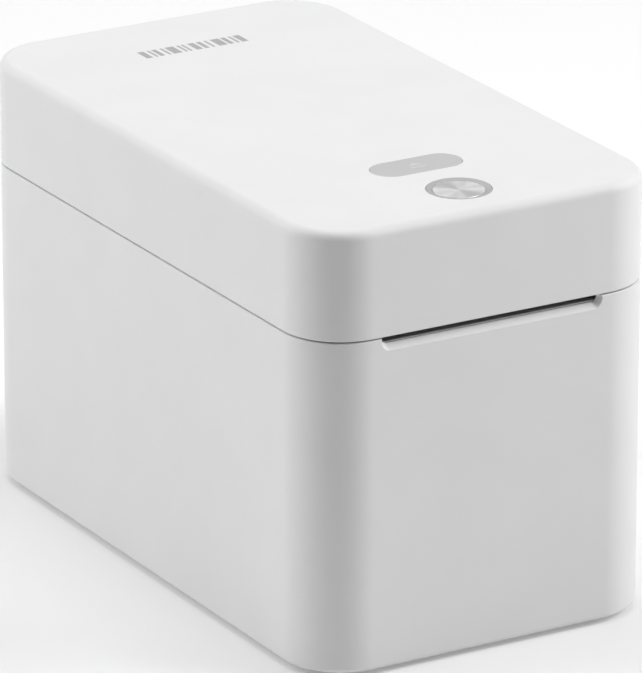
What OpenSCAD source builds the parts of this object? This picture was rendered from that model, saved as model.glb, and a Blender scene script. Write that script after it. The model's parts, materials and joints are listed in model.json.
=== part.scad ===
// Desktop thermal label printer for 50 mm wide label rolls.
// Frame: origin at the middle of the footprint, on the floor; +Z up; labels leave towards -Y.

/* [Case] */
// Width of the case
case_w = 90; // [86:1:110]
// Length of the case, front to back
case_l = 157.5; // [150:0.5:180]
// Height from the case's underside to the lid's top
case_h = 103.6; // [100:0.2:115]
// Height of the lid above the seam
lid_h = 25.5; // [25:0.5:30]
// Radius of the four upright corners
corner_r = 14.6; // [10:0.2:20]
// Radius of the lid's top edge
top_fillet = 2.4; // [1:0.2:3]
// Radius of the case's bottom edge
bottom_fillet = 1.3; // [0.5:0.1:2]
// Wall thickness of the outer shells
wall = 2.4; // [2:0.1:3]
// Height of the rubber feet below the case
foot_h = 1.2; // [0.8:0.1:3]
// Gap of the seam between the case and the lid
seam_gap = 0.3; // [0.2:0.05:0.5]

/* [Label path] */
// Width of the label exit slot
slot_w = 55.4; // [40:0.2:56]
// Width and depth of the bevel around the slot
slot_bevel = 1.35; // [0.6:0.05:1.4]
// Radius of the platen roller
platen_r = 6; // [5:0.5:6]
// Radius of the largest label roll's bay
bay_r = 40; // [34:1:40]
// Half the inner width of the roll bay
bay_half_w = 32; // [30:0.5:32]

/* [Buttons] */
// Length of the pill-shaped open button
pill_l = 22.5; // [18:0.5:26]
// Width of the pill-shaped open button
pill_w = 9.7; // [8:0.1:11]
// Diameter of the power button's metal disc
disc_d = 11.8; // [10:0.2:12]
// Diameter of the ring around the power button
ring_d = 14.9; // [14:0.1:17]

/* [Hidden] */
$fn = 64;

EPS = 0.01;
BIG = 400;
WHITE = "white";
GREY = "#9a9da0";
STEEL = "silver";

// Heights in the finished printer
z_bottom = foot_h;
z_top = foot_h + case_h;
z_seam = z_top - lid_h;
z_case_top = z_seam - seam_gap / 2;
z_lid_low = z_seam + seam_gap / 2;
z_lid_ceiling = z_top - wall;
z_deck = z_seam - 0.4;
deck_t = 2;
z_liner = z_seam + 0.4;
liner_t = 1.6;

// Hinge along X at the rear edge
hinge_r = 3;
hinge_clear = 0.3;
hinge_y = case_l / 2 - hinge_r;
hinge_pin_r = 1.2;
hinge_bore_r = 1.25;
knuckle_x = 24;
knuckle_w = 9;
hinge_pin_half = 34;

// Label slot and tear bar
slot_z = z_seam - 1.75;
slot_corner = 1.3;
lip_t = 1.5;
tear_bar_t = 0.6;
tear_bar_half = 29;
tear_bar_y = -case_l / 2 + lip_t + 0.1;
tear_bar_top = z_seam - 1.23;
ramp_drop = 1.1;
tooth_pitch = 0.6;
tooth_depth = 0.35;

// Platen and gear train, all turning about X; [y, z] centres
gear_m = 0.6;
pressure_angle = 25;
backlash = 0.12;
platen_teeth = 24;
idler_small_teeth = 14;
idler_big_teeth = 36;
pinion_teeth = 12;
nip_y = -65;
nip_z = z_seam - 0.3;
platen_c = [nip_y, nip_z - 0.05 - platen_r];
idler_angle = -45;
idler_c = platen_c + gear_m * (platen_teeth + idler_small_teeth) / 2
    * [cos(idler_angle), sin(idler_angle)];
motor_angle = -85;
motor_c = idler_c + gear_m * (idler_big_teeth + pinion_teeth) / 2
    * [cos(motor_angle), sin(motor_angle)];
gear_inner_x = -37.6;
gear_inner_t = 3;
gear_outer_x = -40.7;
gear_outer_t = 2.8;
frame_x = 33.9;
frame_t = 1.2;
frame_y0 = -75;
frame_y1 = -35.8;
frame_z0 = 26;
bush_r = 4.5;
shaft_r = 3;
running = 0.05;
sleeve_half = 28;
motor_r = 17.5;
motor_len = 20;
motor_shaft_r = 1;
motor_ear_r = 20.6;
stud_r = 1.5;

// Roll bay and its side guides
bay_c = [22, z_deck - 22];
tub_t = 1.6;
guide_r = bay_r - 0.8;
guide_t = 2;
guide_x = bay_half_w - 0.4 - guide_t;
guide_travel = 16;
rack_m = 0.8;
rack_teeth = 14;
rack_pitch_r = rack_m * rack_teeth / 2;
rack_z = bay_c[1] - bay_r - tub_t - 4.1;
rack_h = 3.4;
rack_back = 9.1;
stem_w = 4.2;

// Lid mechanism
pill_y = -45.4;
power_y = -63.9;
button_gap = 0.1;
latch_y = -38;
latch_z = z_top - 12.8;
latch_shaft_r = 2;
latch_tail = 10;
latch_tail_t = 2;
hook_x = 37;
hook_w = 3;
hook_shank_y0 = -40.5;
hook_shank_y1 = -37.6;
hook_slot_y0 = -44;
hook_slot_y1 = -33.4;
hook_low = z_deck - 5.2;
stem_gap = 0.5;
frame_plate_z = z_top - 9.6;
frame_plate_t = 1.4;
cradle_z = z_top - 13.4;
cradle_t = 1.2;
cradle_x = 32;
head_pivot = [-53.2, z_seam + 7.6];
head_pin_r = 1.5;
head_z = nip_z;
head_half = 28;
head_t = 1;
sink_t = 4.2;
bracket_t = 1.2;
spring_x = 18;
spring_y = nip_y;

// Screw places, [x, y]
case_screw_at = [for (x = [-1, 1], y = [-1, 1]) [x * 33, y * 64]];
foot_x = 32;
foot_y = 48;
tub_screw_at = [for (x = [-39.2, 39.2], y = [-28, 58]) [x, y]];
liner_screw_at = [[-38, -20], [38, -20], [-38, 52], [38, 52]];
board_screw_at = [for (x = [-22, 22], y = [12, 58]) [x, y]];
frame_screw_at = [for (x = [-14, 14]) [x, -54.5]];

// ---------- shapes used more than once ----------

module rounded_rect(w, l, r) {
    square([w - 2 * r, l], center = true);
    square([w, l - 2 * r], center = true);
    for (x = [-1, 1], y = [-1, 1])
        translate([x * (w / 2 - r), y * (l / 2 - r)]) circle(r);
}

// Upright prism of the case's outline, pulled in by inset
module case_prism(z0, z1, inset = 0) {
    translate([0, 0, z0])
        linear_extrude(z1 - z0)
            rounded_rect(case_w - 2 * inset, case_l - 2 * inset, corner_r - inset);
}

// Cross-section w wide and h high, with rounded lower and upper corners
module slab_section(w, h, low_r, high_r) {
    translate([-w / 2, low_r]) square([w, h - low_r - high_r]);
    translate([-w / 2 + low_r, 0]) square([w - 2 * low_r, low_r + EPS]);
    translate([-w / 2 + high_r, h - high_r - EPS]) square([w - 2 * high_r, high_r + EPS]);
    for (x = [-1, 1]) {
        if (low_r > 0) translate([x * (w / 2 - low_r), low_r]) circle(low_r);
        if (high_r > 0) translate([x * (w / 2 - high_r), h - high_r]) circle(high_r);
    }
}

// Case-shaped block with rounded upright corners and rounded lower and upper edges
module soft_block(z0, h, low_r, high_r) {
    translate([0, 0, z0]) {
        rotate([90, 0, 0])
            linear_extrude(case_l - 2 * corner_r, center = true)
                slab_section(case_w, h, low_r, high_r);
        rotate([90, 0, 90])
            linear_extrude(case_w - 2 * corner_r, center = true)
                slab_section(case_l, h, low_r, high_r);
        for (x = [-1, 1], y = [-1, 1])
            translate([x * (case_w / 2 - corner_r), y * (case_l / 2 - corner_r), 0])
                rotate_extrude()
                    intersection() {
                        slab_section(2 * corner_r, h, low_r, high_r);
                        square([corner_r, h]);
                    }
    }
}

// Lays a [y, z] drawing in the side plane, from x0 to x0 + t
module side_slice(x0, t) {
    translate([x0, 0, 0]) rotate([90, 0, 90]) linear_extrude(t) children();
}

module x_rod(x0, x1, c, r) {
    side_slice(x0, x1 - x0) translate(c) circle(r);
}

module box(low, high) {
    translate(low) cube(high - low);
}

// Point on the involute of a base circle, unwound by a degrees
function involute(base_r, a) =
    base_r * [cos(a) + a * PI / 180 * sin(a), sin(a) - a * PI / 180 * cos(a)];
function turned(p, a) = [p[0] * cos(a) - p[1] * sin(a), p[0] * sin(a) + p[1] * cos(a)];
function involute_angle(base_r, r) = sqrt(pow(r / base_r, 2) - 1) * 180 / PI;
function involute_lean(base_r, r) =
    involute_angle(base_r, r) - atan(involute_angle(base_r, r) * PI / 180);

// Outline of a spur gear with one tooth on the +X side
module gear_outline(teeth, m, bore = 0) {
    pitch_r = m * teeth / 2;
    base_r = pitch_r * cos(pressure_angle);
    tip_r = pitch_r + 0.8 * m;
    root_r = pitch_r - 1.05 * m;
    half = 90 / teeth - backlash / 2 / pitch_r * 180 / PI + involute_lean(base_r, pitch_r);
    steps = 4;
    start = involute_angle(base_r, max(base_r, root_r) + EPS);
    flank = [for (i = [0 : steps])
        turned(involute(base_r, start + (involute_angle(base_r, tip_r) - start) * i / steps), -half)];
    tooth = concat([turned([root_r, 0], -half)], flank,
        [for (i = [0 : steps]) [flank[steps - i][0], -flank[steps - i][1]]],
        [turned([root_r, 0], half)]);
    difference() {
        polygon([for (t = [0 : teeth - 1], p = tooth) turned(p, t * 360 / teeth)]);
        if (bore > 0) circle(bore);
    }
}

// Coil spring standing on z = 0, made as a swept wire
module coil_spring(r, wire_r, turns, length) {
    per_turn = 14;
    sides = 6;
    rings = turns * per_turn;
    rise = length - 2 * wire_r;
    points = [for (i = [0 : rings], s = [0 : sides - 1])
        let (a = i * 360 / per_turn, w = s * 360 / sides, d = r + wire_r * cos(w))
            [d * cos(a), d * sin(a), wire_r + rise * i / rings + wire_r * sin(w)]];
    walls = [for (i = [0 : rings - 1], s = [0 : sides - 1])
        let (a = i * sides + s, b = i * sides + (s + 1) % sides)
            [a, a + sides, b + sides, b]];
    caps = [[for (s = [0 : sides - 1]) s], [for (s = [sides - 1 : -1 : 0]) rings * sides + s]];
    polyhedron(points, concat(walls, caps), convexity = 10);
}

// Screw with a flat head on top of z = 0 and its shank below
module screw(head_r, head_h, shank_r, length) {
    difference() {
        cylinder(h = head_h, r = head_r);
        for (a = [0, 90])
            translate([0, 0, head_h * 1.05]) rotate([0, 0, a])
                cube([0.6, head_r * 1.3, head_h], center = true);
    }
    translate([0, 0, -length]) cylinder(h = length + EPS, r = shank_r);
}

// ---------- lower case ----------

module hinge_relief() {
    x_rod(-BIG / 2, BIG / 2, [hinge_y, z_seam], hinge_r + hinge_clear);
    box([-BIG / 2, hinge_y, z_seam - hinge_r - hinge_clear], [BIG / 2, BIG, z_seam + 5]);
}

module slot_notch() {
    half = slot_w / 2;
    y0 = -case_l / 2 - 1;
    depth = wall + 2;
    c_z = slot_z + slot_corner;
    translate([0, y0, 0]) rotate([-90, 0, 0]) linear_extrude(depth) {
        translate([-half + slot_corner, -c_z]) square([2 * (half - slot_corner), slot_corner]);
        translate([-half, -c_z - 3]) square([2 * half, 3]);
        for (x = [-1, 1]) translate([x * (half - slot_corner), -c_z]) circle(slot_corner);
    }
    bevel_out = slot_bevel + EPS;
    side_slice(-half + slot_corner, 2 * (half - slot_corner))
        polygon([[-case_l / 2 - EPS, slot_z - bevel_out], [-case_l / 2 + slot_bevel, slot_z],
            [-case_l / 2 + slot_bevel, slot_z + 3], [-case_l / 2 - EPS, slot_z + 3]]);
    for (x = [-1, 1])
        translate([x * (half - slot_corner), -case_l / 2 - EPS, c_z])
            rotate([-90, 0, 0])
                cylinder(h = bevel_out, r1 = slot_corner + bevel_out, r2 = slot_corner);
}

module base_knuckle(x) {
    x_rod(x - knuckle_w / 2, x + knuckle_w / 2, [hinge_y, z_seam], hinge_r);
    box([x - knuckle_w / 2, hinge_y - hinge_r, z_seam - 12],
        [x + knuckle_w / 2, hinge_y, z_seam]);
    box([x - knuckle_w / 2, hinge_y - hinge_r, z_seam - 12],
        [x + knuckle_w / 2, case_l / 2 - 1, z_seam - hinge_r - hinge_clear]);
}

dc_x = 22;
dc_z = z_bottom + 12;
dc_hole_r = 4.2;
usb_x = -6;
usb_z = z_bottom + 8.4;
board_z = z_bottom + 5;
board_t = 1.6;
board_half = 27;
floor_t = 2;
cover_inset = 5;

module lower_case() {
    color(WHITE) difference() {
        union() {
            difference() {
                soft_block(z_bottom, z_case_top - z_bottom, bottom_fillet, 0);
                case_prism(z_bottom + wall, BIG, wall);
                case_prism(z_bottom - 1, z_bottom + wall + 1, cover_inset);
                hinge_relief();
            }
            for (p = case_screw_at) {
                translate([p[0], p[1], z_bottom + floor_t])
                    cylinder(h = 12, r = 3.6);
                side = sign(p[0]);
                translate([p[0] + side * 4.8, p[1], z_bottom + floor_t + 6])
                    cube([10, 2, 12], center = true);
            }
            for (p = tub_screw_at)
                translate([p[0], p[1], z_deck - deck_t - 16]) cylinder(h = 16, r = 3.5);
            for (x = [-knuckle_x, knuckle_x]) base_knuckle(x);
        }
        slot_notch();
        box([-tear_bar_half - 1.5, -case_l / 2 + lip_t, z_deck - 9],
            [tear_bar_half + 1.5, -case_l / 2 + wall + 1, BIG]);
        for (p = case_screw_at)
            translate([p[0], p[1], z_bottom]) cylinder(h = 12, r = 1.2);
        for (p = tub_screw_at)
            translate([p[0], p[1], z_deck - 13]) cylinder(h = 20, r = 1.2);
        x_rod(-knuckle_x - knuckle_w, knuckle_x + knuckle_w, [hinge_y, z_seam], hinge_bore_r);
        translate([dc_x, case_l / 2 - wall - 1, dc_z])
            rotate([-90, 0, 0]) cylinder(h = wall + 2, r = dc_hole_r);
        translate([usb_x, case_l / 2 - wall - 1, usb_z])
            rotate([-90, 0, 0]) linear_extrude(wall + 2) rounded_rect(10, 4.2, 2);
    }
}

module bottom_cover() {
    color(WHITE) difference() {
        union() {
            case_prism(z_bottom, z_bottom + floor_t, cover_inset + 0.3);
            for (p = board_screw_at)
                translate([p[0], p[1], z_bottom + floor_t - EPS])
                    cylinder(h = board_z - z_bottom - floor_t + EPS, r = 3);
        }
        for (p = case_screw_at) translate([p[0], p[1], 0]) {
            cylinder(h = 20, r = 1.7);
            cylinder(h = z_bottom + 1.2, r = 3.2);
        }
        for (p = board_screw_at)
            translate([p[0], p[1], z_bottom + 1]) cylinder(h = 10, r = 1);
        for (x = [-1, 1], y = [-1, 1])
            translate([x * foot_x, y * foot_y, 0]) cylinder(h = z_bottom + 0.6, r = 6.2);
        for (i = [-3 : 3])
            translate([i * 6, -30, 0]) linear_extrude(BIG) rounded_rect(2, 24, 0.9);
    }
}

module case_screws() {
    color(STEEL)
        for (p = case_screw_at)
            translate([p[0], p[1], z_bottom + 1.2]) rotate([180, 0, 0]) screw(2.9, 1.1, 1.2, 9);
}

module foot(x, y) {
    color("dimgray")
        translate([x * foot_x, y * foot_y, 0]) {
            cylinder(h = 0.4, r1 = 5.6, r2 = 6);
            translate([0, 0, 0.4]) cylinder(h = z_bottom + 0.2, r = 6);
        }
}
module foot_front_left() foot(-1, -1);
module foot_front_right() foot(1, -1);
module foot_rear_left() foot(-1, 1);
module foot_rear_right() foot(1, 1);

// ---------- roll tub and side guides ----------

// Side view of the roll bay, grown by grow, open to the top
module bay_section(grow, top) {
    intersection() {
        union() {
            translate(bay_c) circle(bay_r + grow, $fn = 96);
            translate([bay_c[0] - bay_r - grow, bay_c[1]])
                square([2 * (bay_r + grow), top - bay_c[1]]);
        }
        translate([-BIG / 2, -BIG / 2]) square([BIG, BIG / 2 + top]);
    }
}

platen_cut = [-39, 36.4, -73.4, -56.8];
lug_z = z_deck - 8;

module roll_tub() {
    color(GREY) difference() {
        union() {
            difference() {
                case_prism(z_deck - deck_t, z_deck, wall + 0.15);
                box([-BIG, hinge_y - hinge_r - 0.7, 0], [BIG, BIG, BIG]);
                box([-tear_bar_half, -BIG, z_deck - ramp_drop],
                    [tear_bar_half, platen_cut[2] + EPS, BIG]);
            }
            side_slice(-bay_half_w - tub_t, 2 * (bay_half_w + tub_t))
                bay_section(tub_t, z_deck);
            box([-tear_bar_half, tear_bar_y + tear_bar_t, lug_z],
                [tear_bar_half, platen_cut[2], z_deck - ramp_drop]);
            for (x = [-1, 1], y = [8.5, 35.5])
                translate([x * 24, y, rack_z - 0.6]) cylinder(h = 8, r = 2.4);
        }
        side_slice(-bay_half_w, 2 * bay_half_w) bay_section(0, BIG / 4);
        box([platen_cut[0], platen_cut[2], z_deck - deck_t - 1],
            [platen_cut[1], platen_cut[3], BIG]);
        for (s = [-1, 1])
            box([min(s * (guide_x - guide_travel - 0.5), s * (bay_half_w - 0.2)),
                 bay_c[0] + s * 7 - stem_w / 2 - 0.4, rack_z - 2],
                [max(s * (guide_x - guide_travel - 0.5), s * (bay_half_w - 0.2)),
                 bay_c[0] + s * 7 + stem_w / 2 + 0.4, rack_z + 12]);
        for (p = tub_screw_at) translate([p[0], p[1], 0]) {
            cylinder(h = BIG, r = 1.7);
            translate([0, 0, z_deck - 1.3]) cylinder(h = BIG, r = 3.1);
        }
        for (x = [-1, 1])
            box([x * hook_x - 2.2, hook_slot_y0, 0], [x * hook_x + 2.2, hook_slot_y1, BIG]);
        translate([0, -48, 0]) linear_extrude(BIG) rounded_rect(9, 5, 1);
        for (x = [-1, 1], y = [8.5, 35.5])
            translate([x * 24, y, rack_z - 2]) cylinder(h = 6, r = 0.9);
    }
}

module tub_screws() {
    color(STEEL) for (p = tub_screw_at)
        translate([p[0], p[1], z_deck - 1.3]) screw(2.8, 1.2, 1.2, 10);
}

module tear_bar() {
    teeth = floor(2 * tear_bar_half / tooth_pitch);
    top = tear_bar_top;
    color(STEEL)
        translate([0, tear_bar_y + tear_bar_t, 0]) rotate([90, 0, 0]) linear_extrude(tear_bar_t)
            polygon(concat([[tear_bar_half, lug_z], [-tear_bar_half, lug_z]],
                [for (i = [0 : teeth - 1], e = [0, 1])
                    [-tear_bar_half + (i + e / 2) * tooth_pitch, top - (e == 0 ? tooth_depth : 0)]],
                [[tear_bar_half, top - tooth_depth]]));
}

module guide_cover() {
    z = rack_z - 0.6 - 1.4;
    color(GREY) difference() {
        union() {
            box([-34, 5, z], [34, 39, z + 1.4]);
            translate([0, bay_c[0], z]) cylinder(h = 5.2, r = 2);
        }
        for (x = [-1, 1], y = [8.5, 35.5])
            translate([x * 24, y, z - 1]) cylinder(h = 6, r = 1.2);
        for (x = [-1, 1])
            translate([x * 17, bay_c[0], z - 1]) linear_extrude(4) rounded_rect(12, 16, 2);
    }
}

// One side guide, drawn for the side s (-1 left, +1 right), with its rack
module roll_guide(s) {
    x0 = s > 0 ? guide_x : -guide_x - guide_t;
    rack_y = bay_c[0] + s * rack_pitch_r;
    face = rack_m;
    difference() {
        union() {
            side_slice(x0, guide_t) intersection() {
                translate(bay_c) circle(guide_r, $fn = 96);
                union() {
                    translate(bay_c) circle(20);
                    polygon([bay_c + [-19.5, 4], bay_c + [-26, -BIG / 8], bay_c + [26, -BIG / 8],
                        bay_c + [19.5, 4]]);
                }
            }
            hub_x = s > 0 ? x0 - 3 : x0 + guide_t - EPS;
            x_rod(hub_x, hub_x + 3 + EPS, bay_c, 11.5);
            box([x0, bay_c[0] + s * 7 - stem_w / 2, rack_z],
                [x0 + guide_t, bay_c[0] + s * 7 + stem_w / 2, rack_z + 10]);
            back = bay_c[0] + s * rack_back;
            front = rack_y + s * face;
            box([s > 0 ? -5 : x0, min(back, front), rack_z],
                [s > 0 ? x0 + guide_t : 5, max(back, front), rack_z + rack_h]);
            intersection() {
                box([s > 0 ? -5 : x0 + 8, bay_c[0] - 9, rack_z],
                    [s > 0 ? x0 - 6 : 5, bay_c[0] + 9, rack_z + rack_h]);
                for (i = [-12 : 12]) rack_tooth(i, s, rack_y);
            }
        }
        x_rod(x0 - 5, x0 + guide_t + 5, bay_c, 8.5);
    }
}

// Rack tooth i: gaps sit where the pinion's teeth are at rest
module rack_tooth(i, s, rack_y) {
    pitch = PI * rack_m;
    half = pitch / 4 - backlash / 2;
    lean = tan(pressure_angle);
    tip = 0.8 * rack_m;
    root = rack_m + EPS;
    c = (i + 0.5) * pitch;
    translate([0, 0, rack_z]) linear_extrude(rack_h)
        polygon([[c - half - root * lean, rack_y + s * root], [c - half + tip * lean, rack_y - s * tip],
            [c + half - tip * lean, rack_y - s * tip], [c + half + root * lean, rack_y + s * root]]);
}

module left_roll_guide() {
    color("#b9bcc0") roll_guide(-1);
}
module right_roll_guide() {
    color("#b9bcc0") roll_guide(1);
}

module guide_pinion() {
    color("#55585c") translate([0, bay_c[0], rack_z])
        rotate([0, 0, 90]) linear_extrude(rack_h - 0.4) gear_outline(rack_teeth, rack_m, 2 + running);
}

// ---------- print frame, platen and gear train ----------

module print_frame() {
    z1 = z_deck - deck_t;
    color(STEEL) difference() {
        union() {
            for (x = [-frame_x, frame_x - frame_t])
                box([x, frame_y0, frame_z0], [x + frame_t, frame_y1, z1]);
            box([-frame_x, frame_y1 - frame_t, frame_z0], [frame_x, frame_y1, z1]);
        }
        x_rod(-BIG / 2, BIG / 2, platen_c, bush_r);
        x_rod(-frame_x - 1, -frame_x + frame_t + 1, motor_c, 4.2);
        x_rod(-frame_x - 1, -frame_x + frame_t + 1, idler_c, stud_r);
        for (s = [-1, 1])
            x_rod(-frame_x - 1, -frame_x + frame_t + 1,
                motor_c + s * motor_ear_r * [cos(45), sin(45)], 1.3);
        box([-20, frame_y1 - 3, frame_z0 + 14], [20, frame_y1 + 3, frame_z0 + 32]);
        side_slice(frame_x - frame_t - 1, frame_t + 2)
            translate(motor_c) rounded_rect(20, 24, 3);
    }
}

// Flanged bush for one side plate, s = -1 left or +1 right
module platen_bush(s) {
    inner = s * (frame_x - frame_t);
    outer = s * frame_x;
    flange = s * (frame_x - frame_t - 1);
    color("#e8e6df") difference() {
        union() {
            x_rod(min(inner, outer), max(inner, outer), platen_c, bush_r);
            x_rod(min(inner, flange), max(inner, flange), platen_c, bush_r + 1);
        }
        x_rod(-BIG / 2, BIG / 2, platen_c, shaft_r + running);
    }
}
module platen_bush_left() platen_bush(-1);
module platen_bush_right() platen_bush(1);

module platen_shaft() {
    color(STEEL) {
        x_rod(gear_inner_x, frame_x + 1.4, platen_c, shaft_r);
    }
}

module platen_sleeve() {
    color("#232325") side_slice(-sleeve_half, 2 * sleeve_half)
        translate(platen_c) difference() {
            circle(platen_r);
            circle(shaft_r);
        }
}

module platen_gear() {
    color("#ece9e0") side_slice(gear_inner_x, gear_inner_t)
        translate(platen_c) rotate(idler_angle)
            gear_outline(platen_teeth, gear_m, shaft_r);
}

module idler_stud() {
    color(STEEL) {
        x_rod(gear_outer_x - 0.2, -frame_x + frame_t, idler_c, stud_r);
        x_rod(gear_outer_x - 0.9, gear_outer_x - 0.15, idler_c, stud_r + 1.2);
    }
}

module idler_gear() {
    mesh_small = idler_angle + 180 + 180 / idler_small_teeth;
    color("#ece9e0") {
        side_slice(gear_inner_x - EPS, gear_inner_t) translate(idler_c)
            rotate(mesh_small) gear_outline(idler_small_teeth, gear_m, stud_r + running);
        side_slice(gear_outer_x, gear_outer_t + 0.3) translate(idler_c)
            difference() {
                circle(4);
                circle(stud_r + running);
            }
        side_slice(gear_outer_x, gear_outer_t) translate(idler_c)
            rotate(motor_angle) gear_outline(idler_big_teeth, gear_m, stud_r + running);
    }
}

module motor_pinion() {
    mesh = motor_angle + 180 + 180 / pinion_teeth;
    color("goldenrod") side_slice(gear_outer_x, gear_outer_t) translate(motor_c)
        rotate(mesh) gear_outline(pinion_teeth, gear_m, motor_shaft_r);
}

module motor_shaft() {
    color(STEEL) x_rod(gear_outer_x, -frame_x + frame_t + motor_len + 1, motor_c, motor_shaft_r);
}

module stepper_motor() {
    x0 = -frame_x + frame_t;
    color("#8d9196") difference() {
        union() {
            x_rod(x0, x0 + motor_len, motor_c, motor_r);
            side_slice(x0, 1) translate(motor_c) rotate(45) rounded_rect(2 * motor_ear_r + 7, 8, 3.9);
            x_rod(x0 - frame_t - 0.2, x0 + EPS, motor_c, 4);
            box([x0 + 4, motor_c[0] + motor_r - 3, motor_c[1] - 6],
                [x0 + 14, motor_c[0] + motor_r + 0.6, motor_c[1] + 6]);
        }
        x_rod(-BIG / 2, BIG / 2, motor_c, motor_shaft_r + running);
        for (s = [-1, 1])
            x_rod(x0 - 1, x0 + 2, motor_c + s * motor_ear_r * [cos(45), sin(45)], 1.3);
    }
}

module motor_screws() {
    color(STEEL) for (s = [-1, 1]) {
        c = motor_c + s * motor_ear_r * [cos(45), sin(45)];
        translate([-frame_x + frame_t + 1, c[0], c[1]]) rotate([0, 90, 0]) screw(2.4, 1.4, 1.25, 3);
    }
}

module gap_sensor() {
    color("darkgreen") {
        box([-9, -53, z_deck - 5.2], [9, -43, z_deck - 4]);
    }
    color("#222222") box([-4, -50, z_deck - 4 - EPS], [4, -46, z_deck - 0.6]);
    color("darkgreen") for (x = [-8, 6])
        box([x, -49.5, z_deck - 4 - EPS], [x + 2, -46.5, z_deck - deck_t]);
}

// ---------- electronics in the base ----------

module main_board() {
    color("darkgreen") difference() {
        union() {
            box([-board_half, 0, board_z], [board_half, 73, board_z + board_t]);
            box([-16, 42, board_z + board_t - EPS], [-4, 54, board_z + board_t + 1.4]);
            box([6, 42, board_z + board_t - EPS], [14, 50, board_z + board_t + 1.2]);
            for (x = [-18, -6, 6])
                box([x, 0.6, board_z + board_t - EPS], [x + 9, 4, board_z + board_t + 4]);
        }
        for (p = board_screw_at) translate([p[0], p[1], 0]) cylinder(h = 50, r = 1.2);
    }
}

module board_screws() {
    color(STEEL) for (p = board_screw_at)
        translate([p[0], p[1], board_z + board_t]) screw(2.2, 1.2, 1, 5);
}

module dc_inlet() {
    depth = 12;
    y1 = case_l / 2 - wall - 0.1;
    color("#222222") difference() {
        union() {
            box([dc_x - 4.5, y1 - depth, board_z + board_t], [dc_x + 4.5, y1 - 2, dc_z + 4.5]);
            translate([dc_x, y1 - 3, dc_z]) rotate([-90, 0, 0]) cylinder(h = 3 + wall - 0.6, r = 4);
        }
        translate([dc_x, y1 - 9, dc_z]) rotate([-90, 0, 0]) cylinder(h = 20, r = 2.8);
    }
    color(STEEL) translate([dc_x, y1 - 9.5, dc_z]) rotate([-90, 0, 0]) cylinder(h = 9, r = 1.05);
}

module usb_port() {
    y1 = case_l / 2 - 1;
    color(STEEL) translate([usb_x, y1, usb_z]) rotate([90, 0, 0]) {
        difference() {
            linear_extrude(7.4) rounded_rect(9, 3.2, 1.5);
            translate([0, 0, -1]) linear_extrude(7.4) rounded_rect(8.4, 2.6, 1.2);
        }
        translate([-3.4, -0.35, 0.6]) cube([6.8, 0.7, 6.4]);
    }
    color(STEEL) box([usb_x - 4.4, y1 - 7.4, board_z + board_t], [usb_x + 4.4, y1 - 3.2, usb_z - 1.2]);
}

// ---------- lid ----------

module pill(l, w) {
    square([l - w, w], center = true);
    for (x = [-1, 1]) translate([x * (l - w) / 2, 0]) circle(w / 2);
}

module lid_shell() {
    color(WHITE) difference() {
        union() {
            difference() {
                soft_block(z_lid_low, z_top - z_lid_low, 0, top_fillet);
                case_prism(0, z_lid_ceiling, wall);
            }
            intersection() {
                x_rod(-BIG / 2, BIG / 2, [hinge_y, z_seam], hinge_r);
                case_prism(z_seam - 10, z_seam + 10);
            }
            for (p = liner_screw_at)
                translate([p[0], p[1], z_liner + liner_t])
                    cylinder(h = z_top - 1 - z_liner - liner_t, r = 2.6);
            for (p = frame_screw_at)
                translate([p[0], p[1], frame_plate_z + frame_plate_t])
                    cylinder(h = z_top - 1 - frame_plate_z - frame_plate_t, r = 2.2);
        }
        for (x = [-knuckle_x, knuckle_x])
            x_rod(x - knuckle_w / 2 - hinge_clear, x + knuckle_w / 2 + hinge_clear,
                [hinge_y, z_seam], hinge_r + hinge_clear);
        x_rod(-hinge_pin_half, hinge_pin_half, [hinge_y, z_seam], hinge_pin_r);
        translate([0, pill_y, z_top - 10]) linear_extrude(20)
            pill(pill_l + 2 * button_gap, pill_w + 2 * button_gap);
        translate([0, power_y, z_top - 10]) cylinder(h = 20, r = ring_d / 2);
        for (p = liner_screw_at)
            translate([p[0], p[1], z_liner]) cylinder(h = 10, r = 1);
        for (p = frame_screw_at)
            translate([p[0], p[1], frame_plate_z]) cylinder(h = 6, r = 0.9);
    }
}

vault_half = bay_half_w + 0.6;
head_cut = [-39.2, 33.6, -74.6, -48.6];

module lid_liner() {
    z1 = z_liner + liner_t;
    color(GREY) difference() {
        union() {
            case_prism(z_liner, z1, wall + 0.15);
            side_slice(-vault_half - tub_t, 2 * (vault_half + tub_t)) intersection() {
                translate(bay_c) circle(bay_r + tub_t, $fn = 96);
                translate([-BIG / 2, z_liner]) square([BIG, BIG]);
            }
            for (x = [-20, 20])
                side_slice(x - 1.5, 3) {
                    translate([latch_y, latch_z]) circle(4);
                    translate([latch_y - 4, z_liner]) square([8, latch_z - z_liner]);
                }
        }
        side_slice(-vault_half, 2 * vault_half) translate(bay_c) circle(bay_r, $fn = 96);
        box([-BIG, hinge_y - hinge_r - 0.7, 0], [BIG, BIG, BIG]);
        box([head_cut[0], head_cut[2], 0], [head_cut[1], head_cut[3], BIG]);
        x_rod(-BIG / 2, BIG / 2, [latch_y, latch_z], latch_shaft_r + running);
        for (x = [-1, 1])
            box([x * hook_x - 2.2, hook_slot_y0, 0], [x * hook_x + 2.2, hook_slot_y1, BIG]);
        for (p = liner_screw_at) translate([p[0], p[1], 0]) {
            cylinder(h = BIG, r = 1.3);
            cylinder(h = z_liner + liner_t / 2, r = 2.6);
        }
    }
}

module liner_screws() {
    color(STEEL) for (p = liner_screw_at)
        translate([p[0], p[1], z_liner + liner_t / 2]) rotate([180, 0, 0]) screw(2.3, 1, 1, 8);
}

module hinge_pin() {
    color(STEEL) x_rod(-hinge_pin_half, hinge_pin_half, [hinge_y, z_seam], hinge_pin_r);
}

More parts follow.
